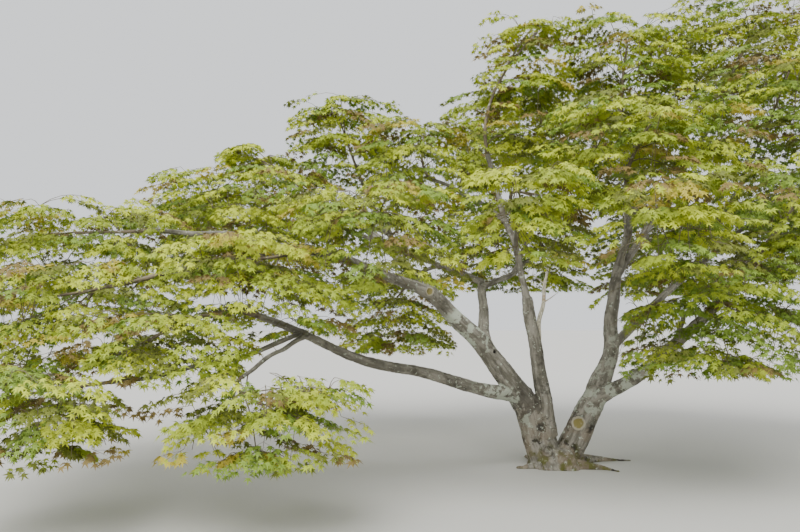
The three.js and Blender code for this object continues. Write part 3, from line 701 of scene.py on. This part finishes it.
def barkMaterial(name, look, strength=1.0):
    material, tree = newMaterial(name)
    place = addNode(tree, "ShaderNodeTexCoord").outputs["Object"]
    height = addNode(tree, "ShaderNodeSeparateXYZ", {0: place}).outputs["Z"]
    grain = addNode(tree, "ShaderNodeAttribute", attribute_name="grain").outputs["Vector"]
    marks = addNode(tree, "ShaderNodeAttribute", attribute_name="marks").outputs
    scar, hollow, lichen = addNode(tree, "ShaderNodeSeparateColor", {0: marks["Color"]}).outputs
    stretched = addNode(tree, "ShaderNodeMapping", {"Vector": grain, "Scale": (1, 1, 0.2)})
    patterns = {
        key: addNode(tree, "ShaderNodeTexNoise", {
            "Vector": stretched if key in alongLimb else place,
            "Scale": 500 / millimetres,
            "Detail": detail,
            "Roughness": roughness,
        })
        for key, (millimetres, detail, roughness) in barkPatterns.items()
    }
    low = {
        shade: addNode(tree, "ShaderNodeMapRange", dict(enumerate((height, *ends))))
        for shade, ends in lowShades.items()
    }
    ragged = {0: patterns["worn"], 1: 0.7, 2: -0.35}
    worn = addNode(tree, "ShaderNodeMath", ragged, operation="MULTIPLY_ADD")
    face = addNode(tree, "ShaderNodeMath", {0: scar, 1: worn}, operation="SUBTRACT")
    colour = layered(tree, look, "grey", (
        ("pale", patterns["streak"], 0.38, 0.62, 1.0),
        ("dark", patterns["mottle"], 0.5, 0.68, 0.6),
        # dark patches, stronger the lower the bark is
        ("low_dark", patterns["low_dark"], 0.5, 0.555, low["low_dark"]),
        ("tan", patterns["tan"], 0.42, 0.58, low["tan"]),
        ("lichen", patterns["lichen"], 0.5, 0.535, lichen),
        ("lichen", patterns["speck"], 0.62, 0.66, 0.7),
        ("moss", patterns["moss"], 0.5, 0.62, marks["Alpha"]),
        ("rim", face, 0.3, 0.6, 1.0),
        ("scar", face, 0.75, 0.95, 1.0),
    ))
    # painted shade: the near-black inside the collar hole, also the swirl knot's dark lines
    shades = {0: hollow, 6: colour, 7: linear(look["hole_shade_and_knot"])}
    colour = addNode(tree, "ShaderNodeMix", shades, data_type="RGBA").outputs[2]
    relief = {0: patterns["furrow"], 1: patterns["streak"]}
    bump = addNode(tree, "ShaderNodeBump", {
        "Strength": 0.55 * strength,
        "Distance": 0.012,
        "Height": addNode(tree, "ShaderNodeMath", relief, operation="ADD"),
    })
    roughness = addNode(tree, "ShaderNodeMapRange", {0: patterns["mottle"], 3: 0.78, 4: 0.95})
    finishMaterial(tree, colour, roughness, 0.25, Normal=bump)
    return material


def firstOf(name):
    return firstOf(limbs[name]["on"]) if limbs[name]["on"] else name


def barkPiece(name, parts, bark):
    piece = meshObject(name, *joined(parts))
    if name in voxels:
        piece = fused(piece, voxels[name])
    dressWood(piece, reliefHeights[name])
    if name in voxels:
        cutAtGround(piece)
        piece.data.shade_smooth()
    piece.data.materials.append(bark)
    print(name, len(piece.data.polygons), "faces")
    return piece


stemBark = barkMaterial("maple stem bark", barkLook)
barkPieces = []
for name, first in fusedFrom.items():
    members = [limb for limb in limbs if limbs[limb]["base"] >= thickFoot and firstOf(limb) == first]
    parts = [limbSweep(member, **thickSweep) for member in members]
    if first == "trunk":
        parts += [rootCrownSweep(), *rootSweeps()]
    piece = barkPiece(name, parts, stemBark)
    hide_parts(*members)
    barkPieces.append(piece)

members = [limb for limb in limbs if limbs[limb]["base"] < thickFoot and limb != "dead_snag"]
piece = barkPiece("slender_boughs", [limbSweep(member, **thinSweep) for member in members], stemBark)
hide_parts(*members)
barkPieces.append(piece)

# The dead snag: bleached bare wood with two broken side twigs
snagLook = {"pale": "#D9D2BC", "grey": "#A59E8C", "ochre": "#B08A58", "fibreMm": 6}
snagShape = {
    "thicker": 1.35,  # the weathered shaft, beside its solid
    "depth": 0.13,  # of its flutes
    "sides": 12,
    "twigs": ((0.62, 30, 0.5, 0.26), (0.8, 190, 0.8, 0.2)),  # where on the snag, bearing, rise, length
    "twigRadius": 0.008,
}


def deadwoodMaterial(name, look):
    material, tree = newMaterial(name)
    place = addNode(tree, "ShaderNodeTexCoord").outputs["Object"]
    fibres = addNode(tree, "ShaderNodeMapping", {"Vector": place, "Scale": (1, 1, 0.12)})
    fine = {"Vector": fibres, "Scale": 500 / look["fibreMm"], "Detail": 3}
    grain = addNode(tree, "ShaderNodeTexNoise", fine)
    stain = addNode(tree, "ShaderNodeTexNoise", {"Vector": place, "Scale": 9, "Detail": 4})
    layers = ("grey", grain, 0.4, 0.62, 1.0), ("ochre", stain, 0.60, 0.68, 1.0)
    colour = layered(tree, look, "pale", layers)
    bump = addNode(tree, "ShaderNodeBump", {"Strength": 0.5, "Distance": 0.004, "Height": grain})
    finishMaterial(tree, colour, 0.9, 0.2, Normal=bump)
    return material


def snagParts():
    limb, sides = limbs["dead_snag"], snagShape["sides"]
    t = np.linspace(0, 1, 56)
    radii = snagShape["thicker"] * limbRadii("dead_snag", t)
    radii = flutedRadii(radii, t * limb["length"], sides, limb["phase"], snagShape["depth"])
    parts = [sweep(limbPoints("dead_snag", t), radii, sides)]
    t = np.linspace(0, 1, 8)
    for at, bearing, rise, length in snagShape["twigs"]:
        way = unit(levelWays(math.radians(bearing))[0] + up * rise)
        bend = np.outer(0.03 * np.sin(5 * t), np.array([way[1], -way[0], 0.3]))
        path = limbPoints("dead_snag", at)[0] + np.outer(t * length, way) + bend
        parts.append(sweep(path, snagShape["twigRadius"] * (1 - 0.7 * t), 6))
    return parts


snag = meshObject("dead_snag_wood", *joined(snagParts()))
snag.data.shade_smooth()
snag.data.materials.append(deadwoodMaterial("weathered bare wood", snagLook))
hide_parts("dead_snag")

# Foliage: leaves in drooping sprays, a dozen shapes of spray dealt out again and again with small changes

leafLook = {"length": 0.068, "fold": 0.2, "sevenShare": 0.12, "roughness": 0.55, "specular": 0.3}
leafFields = {"turn": "FLOAT_VECTOR", "size": "FLOAT", "shape": "INT", "tint": "INT"}
leafLobes = {  # the way each lobe points, its length and its half width, as shares of the leaf
    "five_lobes": (
        (-104, 0.48, 0.12), (-52, 0.7, 0.15), (0, 0.82, 0.16), (52, 0.7, 0.15), (104, 0.48, 0.12),
    ),
    "seven_lobes": (
        (-118, 0.36, 0.09), (-80, 0.56, 0.12), (-40, 0.72, 0.13), (0, 0.8, 0.14),
        (40, 0.72, 0.13), (80, 0.56, 0.12), (118, 0.36, 0.09),
    ),
}
leafTints = {  # one to each spray. Partly the leaves' own tones, partly painted light and shade: the lighter ones go mostly to upper sprays, olive and bronze mostly to under ones
    "bright": "#BEC83C",
    "fresh": "#A0AF36",
    "green": "#809838",
    "olive": "#70772C",
    "bronze": "#84723F",
    "gold": "#B2A53C",
}
litAndShadedTintShares = {  # of the tints above, in their order. Under sprays take more of the darker tints as painted shade, upper sprays more of the lighter ones as painted light
    "warm": {"upper": (0.38, 0.33, 0.13, 0.07, 0.04, 0.05), "under": (0.07, 0.22, 0.21, 0.28, 0.16, 0.06)},
    "green": {"upper": (0.14, 0.34, 0.40, 0.08, 0.03, 0.01), "under": (0.02, 0.14, 0.44, 0.28, 0.11, 0.01)},
}
greenMasses = ("right_low", "right_middle", "far_right", "rear_right", "right_shoulder")
crownRegions = {  # which masses' leaves make one piece
    "left_low": ("left_low_front", "left_low_tip", "left_skirt", "left_front"),
    "left_side": ("left_middle", "left_shoulder"),
    "left_high": ("left_top", "left_sparse", "left_spire"),
    "centre_near": ("centre_front", "centre_skirt", "right_skirt", "right_front"),
    "centre_high": ("centre_top", "centre_high", "right_top"),
    "right_low": ("right_low", "right_middle"),
    "right_high": ("right_shoulder", "right_crest"),
    "right_far": ("far_right", "rear_right"),
    "rear_left": ("rear_left_low", "rear_left"),
    "rear_high": ("rear_centre", "rear_crest"),
}
sprayShape = {
    "length": 0.36,
    "middle": 0.2,
    "shoots": ((0.04, 0.12, 54), (0.13, 0.15, 49), (0.22, 0.12, 42)),  # from, length, angle
    "endLeaves": ((0.3, -1), (0.3, 1), (0.36, -1), (0.36, 0), (0.36, 1)),  # from, side
    "nodeStep": 0.05,
    "droopAlong": 0.75,
    "droopAcross": 1.7,
    "scatter": 0.008,
    "fromLimbs": 0.012,
    "fewestLeaves": 8,
}
bladeSprays = ((0.44, 0), (0.14, -1), (0.18, 1))  # share of the blade's length, side
fineWood = {  # radii at the two ends
    "twig": (0.0075, 0.0042),
    "blade": (0.0042, 0.0022),
    "limbShoot": (0.0036, 0.0024),
    "shoot": (0.0036, 0.0022),
    "spray": (0.0022, 0.0011),
    "sideShoot": (0.0013, 0.0008),
}
limbShoots = {"thinner": 0.045, "every": 3, "turn": 50, "out": 0.02, "lift": 0.05, "scale": 0.9}
crownFill = {
    "spacing": 0.215,  # between the middles of sprays, with heights counted level times
    "level": 1.2,
    "core": 0.48,
    "reach": 1.12,
    "tries": 2200,
    "fromLimbs": 0.06,
    "outward": 0.8,
    "foot": 0.18,  # of a spray, behind its spot
    "bow": 0.06,
}
sparseMasses = ("left_sparse",)


def leafMesh(name):
    # A deeply cut leaf: one slender triangle to a lobe from where its ribs meet, the tips hanging a little
    points = []
    for angle, reach, halfWidth in leafLobes[name]:
        turn = math.radians(angle)
        forward = np.array([math.sin(turn), math.cos(turn)])
        across = np.array([forward[1], -forward[0]])
        base = np.array([0.0, 0.2]) - 0.04 * forward
        points += [(*(base - across * halfWidth), 0.0), (*(base + across * halfWidth), 0.0)]
        points.append((*(base + forward * reach), -leafLook["fold"] * reach))
    return meshObject(name, points, np.arange(len(points)).reshape(-1, 3).tolist())


def sprayTemplate(rng):
    # One spray, forward along x: its leaves' places and ways, its axis and its side shoots' ends
    def onSurface(x, y):
        droop = sprayShape["droopAlong"] * max(0, x - 0.08) ** 2 + sprayShape["droopAcross"] * y * y
        return np.array([x, y, -droop])

    places, headings, shoots = [], [], []
    axis = [onSurface(x, 0.012 * math.sin(11 * x)) for x in np.linspace(0, sprayShape["length"], 3)]
    for start, length, angle in sprayShape["shoots"]:
        for hand in (-1, 1):
            reach = length * rng.uniform(0.85, 1.15)
            turn = math.radians(angle + rng.uniform(-7, 7)) * hand
            root = np.array([start + rng.uniform(-0.012, 0.012), 0.0])
            way = levelWays(turn)[0][:2]
            shoots.append((onSurface(*root), onSurface(*(root + way * reach))))
            count = max(1, round(reach / sprayShape["nodeStep"]))
            for node in range(1, count + 1):
                spot = root + way * reach * node / count
                for side in (-1, 1) if node < count else (-1, 0, 1):
                    places.append(onSurface(*spot))
                    headings.append(turn + side * math.radians(rng.uniform(38, 68)))
    for x, side in sprayShape["endLeaves"]:
        places.append(onSurface(x, 0.0))
        headings.append(side * math.radians(50))
    ways = np.column_stack([np.cos(headings), np.sin(headings), np.zeros(len(headings))])
    return {"places": np.array(places), "ways": ways, "shoots": np.array(shoots), "axis": np.array(axis)}


templateDice = np.random.default_rng(7)
templates = [sprayTemplate(templateDice) for _ in range(12)]
print("leaves in a spray:", [len(template["places"]) for template in templates])

solidBoxes = {name: np.array([list(corner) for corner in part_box(name)]) for name in massNames}

# Stretches of limb that stay in sight from the near side, with the half width that is left open round each
openSights = (
    ("right_upright", 0.2, 1.0, 0.135),
    ("middle_leader", 0.0, 0.62, 0.085),
    ("left_low_bough", 0.7, 1.0, 0.09),
    ("left_main_bough", 0.55, 1.0, 0.12),
    ("left_long_bough", 0.0, 0.16, 0.1),
    ("right_inner_bough", 0.0, 0.35, 0.085),
    ("right_outer_bough", 0.0, 0.16, 0.085),
)
sightLines = 24  # to each stretch
sightStarts = np.concatenate([
    limbPoints(name, np.linspace(low, high, sightLines)) for name, low, high, _ in openSights
])
sightWidths = np.repeat([width for *_, width in openSights], sightLines)


def keepsSightOpen(points):
    # Not on the way from one of those stretches to the viewer's eye. The open way narrows towards the eye.
    runs = np.array(view["place"]) - sightStarts
    offsets = points[:, None] - sightStarts
    shares = (offsets * runs).sum(axis=2) / (runs * runs).sum(axis=1)
    gaps = np.linalg.norm(offsets - shares[:, :, None] * runs, axis=2)
    return ((shares < 0) | (gaps > sightWidths * (1 - shares))).all(axis=1)


def keepsToReach(index, points, beyond=0.04):
    low, high = solidBoxes[massNames[index]]
    inBox = np.all((points > low - beyond) & (points < high + beyond), axis=1)
    return inBox & keepsToSpace(index, points, 0.0, crownFill["reach"])


def emptySpots(index, taken, rng):
    # Places between a mass's core and its surface that no spray has reached, spread evenly
    reach = crownFill["reach"]
    tries = massCentres[index] + rng.uniform(-reach, reach, (crownFill["tries"], 3)) * massHalves[index]
    tries = tries[insideness(tries)[:, index] > crownFill["core"]]
    tries = tries[keepsToReach(index, tries, 0.0) & clearOfLimbs(tries, crownFill["fromLimbs"])]
    levelled = np.array([1.0, 1.0, crownFill["level"]])
    spots = []
    for spot in tries:
        if np.linalg.norm((taken - spot) * levelled, axis=1).min() > crownFill["spacing"]:
            taken = np.vstack([taken, spot])
            spots.append(spot)
    return spots


def growSprays(index):
    # A mass's stem, its leaves' places, ways and tints by spray, and its fine wood: paths with end radii
    name = massNames[index]
    rng = np.random.default_rng(massRows[name][4] + 500)
    stem, plates = growMass(index)
    places, ways, tints, chains, middles = [], [], [], [], []
    shares = litAndShadedTintShares["green" if name in greenMasses else "warm"]

    def turned(low, high):
        return math.radians(rng.uniform(low, high))

    def addWood(path, kind):
        chains.append((path, *fineWood[kind]))

    def addSpray(root, heading, pitch, tilt, scale, layer):
        template = templates[rng.integers(len(templates))]
        forward, side, lift = frameAxes(heading, pitch, tilt)
        basis = np.array([forward, side * rng.choice((-1, 1)), lift])
        spots = root + template["places"] * scale @ basis
        spots = spots + rng.normal(0, sprayShape["scatter"], spots.shape)
        fits = keepsToReach(index, spots) & keepsSightOpen(spots)
        fits &= clearOfLimbs(spots, sprayShape["fromLimbs"])
        if fits.sum() < sprayShape["fewestLeaves"]:
            return
        places.append(spots[fits])
        ways.append((template["ways"] @ basis)[fits])
        # The spray's tint is drawn by its layer: painted light on upper sprays, painted shade on under ones
        tints.append(np.full(fits.sum(), rng.choice(len(leafTints), p=shares[layer])))
        middles.append(root + forward * sprayShape["middle"] * scale)
        axis = root + template["axis"] * scale @ basis
        inside = int(np.argmin(np.append(keepsToReach(index, axis, 0.0), False)))
        if inside > 1:
            addWood(axis[:inside], "spray")
        for shoot in template["shoots"][:4]:
            ends = root + shoot * scale @ basis
            if keepsToReach(index, ends, 0.0).all():
                addWood(ends, "sideShoot")

    bearers = [stem(np.linspace(0.2, 1, 9))]
    for twig, blades in plates:
        bearers.append(twig(np.linspace(0, 1, 6)))
        addWood(bearers[-1], "twig")
        for at, heading, pitch, tilt, length in blades:
            bearers.append(at(np.linspace(0, 0.5, 4), 0.0, 0.0))
            addWood(bearers[-1], "blade")
            for along, hand in bladeSprays:
                root = at(along, 0.0, rng.uniform(-0.01, 0.03))[0]
                swing = heading + hand * math.radians(38 + rng.uniform(-8, 8))
                dip = pitch - turned(0, 12)
                lean = tilt + rng.uniform(-0.2, 0.2)
                addSpray(root, swing, dip, lean, length / 0.6 * rng.uniform(0.9, 1.12), "upper")
        run = twig(0.77)[0] - twig(0.67)[0]
        for hand in (-1, 1):
            swing = math.atan2(run[1], run[0]) + hand * turned(45, 75)
            layer = "upper" if rng.random() < 0.5 else "under"
            addSpray(twig(0.72)[0], swing, turned(-18, 4), 0.0, rng.uniform(0.8, 1.0), layer)
    if name in sparseMasses:
        return stem, places, ways, tints, chains

    # Short shoots on the limbs that run through the space, to one side and the other in turn
    through = keepsToSpace(index, limbDots, 0.0, 1.0) & (limbDotRadii < limbShoots["thinner"])
    for number, dot in enumerate(np.flatnonzero(through[:-1])[:: limbShoots["every"]]):
        run = limbDots[dot + 1] - limbDots[dot]
        if np.linalg.norm(run) > 0.1:  # the next dot is on another limb
            continue
        heading = math.atan2(run[1], run[0]) + math.radians(limbShoots["turn"]) * (1 if number % 2 else -1)
        out = levelWays(heading)[0] * (limbDotRadii[dot] + limbShoots["out"])
        root = limbDots[dot] + out + up * limbShoots["lift"]
        addWood(np.array([limbDots[dot], root]), "limbShoot")
        addSpray(root, heading, turned(-10, 0), rng.uniform(-0.2, 0.2), limbShoots["scale"], "upper")

    # Finer shoots fill what is left of the space: each leaves the nearest wood and ends in one spray
    bearers = np.concatenate(bearers)
    for spot in emptySpots(index, np.array(middles), rng):
        nearest = bearers[np.argmin(np.linalg.norm(bearers - spot, axis=1))]
        outward = unit(spot - massCentres[index])
        run = unit(unit(spot - nearest) + crownFill["outward"] * outward)
        heading = math.atan2(run[1], run[0])
        root = spot - crownFill["foot"] * levelWays(heading)[0]
        if not (keepsToReach(index, root[None]) & clearOfLimbs(root[None], 0.02)).all():
            continue
        shoot = curve(nearest, (nearest + root) / 2 + up * crownFill["bow"], root)
        addWood(shoot(np.linspace(0, 1, 4)), "shoot")
        # Sprays that face upwards are more often upper ones, so they get more of the painted-light tints
        layer = "upper" if rng.random() < 0.5 + 0.4 * outward[2] else "under"
        addSpray(root, heading, turned(-20, -4), rng.uniform(-0.2, 0.2), rng.uniform(0.9, 1.15), layer)
    return stem, places, ways, tints, chains


def leafTurns(ways, rng):
    # Each leaf hangs outwards and down along its way, its face up, and rocks a little. Euler angles.
    ways = unit(ways + np.outer(rng.uniform(0.25, 0.95, len(ways)), -up))
    face = unit(up - ways * (ways @ up)[:, None])
    side = np.cross(ways, face)
    rock = rng.normal(0, 0.33, len(ways))[:, None]
    face = face * np.cos(rock) + side * np.sin(rock)
    side = np.cross(ways, face)
    return np.column_stack([
        np.arctan2(ways[:, 2], face[:, 2]),
        -np.arcsin(np.clip(side[:, 2], -1, 1)),
        np.arctan2(side[:, 1], side[:, 0]),
    ])


leafShapes = [leafMesh(name) for name in leafLobes]
leafMaterials = [  # thin young leaves: matt, with a faint waxy shine
    plainMaterial(f"maple leaf {name}", code, leafLook["roughness"], leafLook["specular"])
    for name, code in leafTints.items()
]
for shape in leafShapes:
    shape.data.materials.append(leafMaterials[0])


def namedTree(name, sockets):
    tree = bpy.data.node_groups.new(name, "GeometryNodeTree")
    for label, kind in sockets.items():
        tree.interface.new_socket(label, in_out="INPUT", socket_type="NodeSocket" + kind)
    tree.interface.new_socket("Geometry", in_out="OUTPUT", socket_type="NodeSocketGeometry")
    return tree, addNode(tree, "NodeGroupInput").outputs


def leafTree():
    # A leaf on every point, of the shape, size, turn and tint that the point carries
    tree, given = namedTree("leaves on shoots", {
        "Points": "Geometry", "Seven lobes": "Object", "Five lobes": "Object", "Leaf length": "Float",
    })
    shapes = addNode(tree, "GeometryNodeJoinGeometry")
    for label in ("Seven lobes", "Five lobes"):
        info = addNode(tree, "GeometryNodeObjectInfo", {"Object": given[label]})
        shape = addNode(tree, "GeometryNodeGeometryToInstance", {0: info.outputs["Geometry"]})
        tree.links.new(shape.outputs[0], shapes.inputs[0])
    carried = {
        field: addNode(tree, "GeometryNodeInputNamedAttribute", {"Name": field}, data_type=kind)
        for field, kind in leafFields.items()
    }
    size = {0: carried["size"], 1: given["Leaf length"]}
    flow = addNode(tree, "GeometryNodeInstanceOnPoints", {
        "Points": given["Points"],
        "Instance": shapes,
        "Pick Instance": True,
        "Instance Index": carried["shape"],
        "Rotation": addNode(tree, "FunctionNodeEulerToRotation", {0: carried["turn"]}),
        "Scale": addNode(tree, "ShaderNodeMath", size, operation="MULTIPLY"),
    })
    flow = addNode(tree, "GeometryNodeRealizeInstances", {0: flow})
    for number, material in enumerate(leafMaterials):
        ends = {2: carried["tint"], 3: number}
        same = addNode(tree, "FunctionNodeCompare", ends, data_type="INT", operation="EQUAL")
        flow = addNode(tree, "GeometryNodeSetMaterial", {0: flow, "Selection": same, "Material": material})
    addNode(tree, "NodeGroupOutput", {0: flow})
    return tree


def twigTree(material):
    # A thin tube along every chain of edges, as thick as its points say
    tree, given = namedTree("twigs along edges", {"Edges": "Geometry", "Sides": "Int"})
    line = addNode(tree, "GeometryNodeMeshToCurve", {0: given["Edges"]})
    ring = addNode(tree, "GeometryNodeCurvePrimitiveCircle", {"Resolution": given["Sides"], "Radius": 1.0})
    thick = addNode(tree, "GeometryNodeInputNamedAttribute", {"Name": "thick"}, data_type="FLOAT")
    flow = addNode(tree, "GeometryNodeCurveToMesh", {0: line, 1: ring, "Scale": thick})
    flow = addNode(tree, "GeometryNodeRealizeInstances", {0: flow})
    flow = addNode(tree, "GeometryNodeSetMaterial", {0: flow, "Material": material})
    addNode(tree, "NodeGroupOutput", {0: flow})
    return tree


def grownFrom(source, tree, inputs):
    modifier = source.modifiers.new("grow", "NODES")
    modifier.node_group = tree
    for item in tree.interface.items_tree:
        if item.in_out == "INPUT" and item.name in inputs:
            modifier[item.identifier] = inputs[item.name]
    return applied(source)


leavesTree = leafTree()
twigBark = barkMaterial("young maple bark", {**barkLook, "grey": "#6F6453", "pale": "#8A7D69"}, 0.4)
fineTwigs = twigTree(twigBark)
leafTotal, stemParts = 0, []
fineChains = {"left": [], "right": []}
for region, members in crownRegions.items():
    places, ways, tints = [], [], []
    for name in members:
        stem, massPlaces, massWays, massTints, chains = growSprays(massNames.index(name))
        places += massPlaces
        ways += massWays
        tints += massTints
        base = limbs[massRows[name][0]]["tip"] * 0.95
        t = np.linspace(-0.02, 1, 14)
        stemParts.append(sweep(stem(t), base + (0.009 - base) * np.maximum(0, t), 8))
        fineChains["left" if massRows[name][1][0] < -0.5 else "right"] += chains
    places, ways, tints = np.concatenate(places), np.concatenate(ways), np.concatenate(tints)
    rng = np.random.default_rng(len(places))
    source = meshObject("leaves_" + region, places)
    fields = {
        "turn": leafTurns(ways, rng),
        "size": rng.uniform(0.82, 1.12, len(places)),
        "shape": (rng.random(len(places)) < leafLook["sevenShare"]).astype(np.int32),
        "tint": tints.astype(np.int32),
    }
    for field, values in fields.items():
        addAttribute(source.data, field, leafFields[field], values)
    piece = grownFrom(source, leavesTree, {
        "Five lobes": leafShapes[0], "Seven lobes": leafShapes[1], "Leaf length": leafLook["length"],
    })
    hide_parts(*members)
    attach(piece, "root")
    leafTotal += len(places)
    print(piece.name, len(places), "leaves,", len(piece.data.polygons), "triangles")
print("leaves in all:", leafTotal)
for shape in leafShapes:
    bpy.data.objects.remove(shape)

for half, chains in fineChains.items():
    thick = [np.linspace(foot, tip, len(path)) for path, foot, tip in chains]
    edges, first = [], 0
    for path, *_ in chains:
        edges += [(first + i, first + i + 1) for i in range(len(path) - 1)]
        first += len(path)
    source = meshObject("twigs_" + half, np.concatenate([path for path, *_ in chains]), (), edges)
    addAttribute(source.data, "thick", "FLOAT", np.concatenate(thick))
    piece = grownFrom(source, fineTwigs, {"Sides": 3})
    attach(piece, "root")
    piece.data.calc_loop_triangles()
    print(piece.name, len(piece.data.loop_triangles), "triangles")

# A bare twig that hangs under the left low bough's leaves
twigFoot = limbPoints("left_low_front_bough", 0.93)[0]
twigPath = curve(twigFoot, twigFoot + (-0.07, 0.0, -0.17), twigFoot + (0.2, -0.02, -0.22))
t = np.linspace(0, 1, 16)
stemParts.append(sweep(twigPath(t), 0.006 - 0.004 * t, 6))

barkPieces.append(barkPiece("branchlets", stemParts, twigBark))
for piece in barkPieces:
    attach(piece, "root")
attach(snag, "root")

# Floor, light and camera

floor = meshObject("studio_floor", [(-60, -60, 0), (60, -60, 0), (60, 60, 0), (-60, 60, 0)], [(0, 1, 2, 3)])
floor.data.materials.append(plainMaterial("pale studio floor", "#C9C7C1", 0.9, 0.1))
floor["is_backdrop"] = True

lights = {"sun": 3.6, "sunAngle": 45, "sunTurn": (38, -14, 0), "sky": 1.25, "skyColour": "#F2F5F8"}
world = bpy.data.worlds.new("soft studio sky")
world.use_nodes = True
sky = world.node_tree.nodes["Background"].inputs
sky["Color"].default_value = linear(lights["skyColour"])
sky["Strength"].default_value = lights["sky"]
bpy.context.scene.world = world
sun = bpy.data.lights.new("overhead softbox", "SUN")
sun.energy = lights["sun"]
sun.angle = math.radians(lights["sunAngle"])
linkObject("overhead softbox", sun).rotation_euler = [math.radians(a) for a in lights["sunTurn"]]

lens = bpy.data.cameras.new("garden view")
lens.lens = view["lens"]
lens.sensor_width = view["sensor"]
lens.clip_end = 200
camera = linkObject("garden view", lens)
camera.location = view["place"]
camera.rotation_euler = (math.radians(90 + view["pitch"]), 0, 0)
bpy.context.scene.camera = camera

boxes = {"cad": cadBounds, "visual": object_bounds()}
{key: [list(corner) for corner in box] for key, box in boxes.items()}
print("finishing")
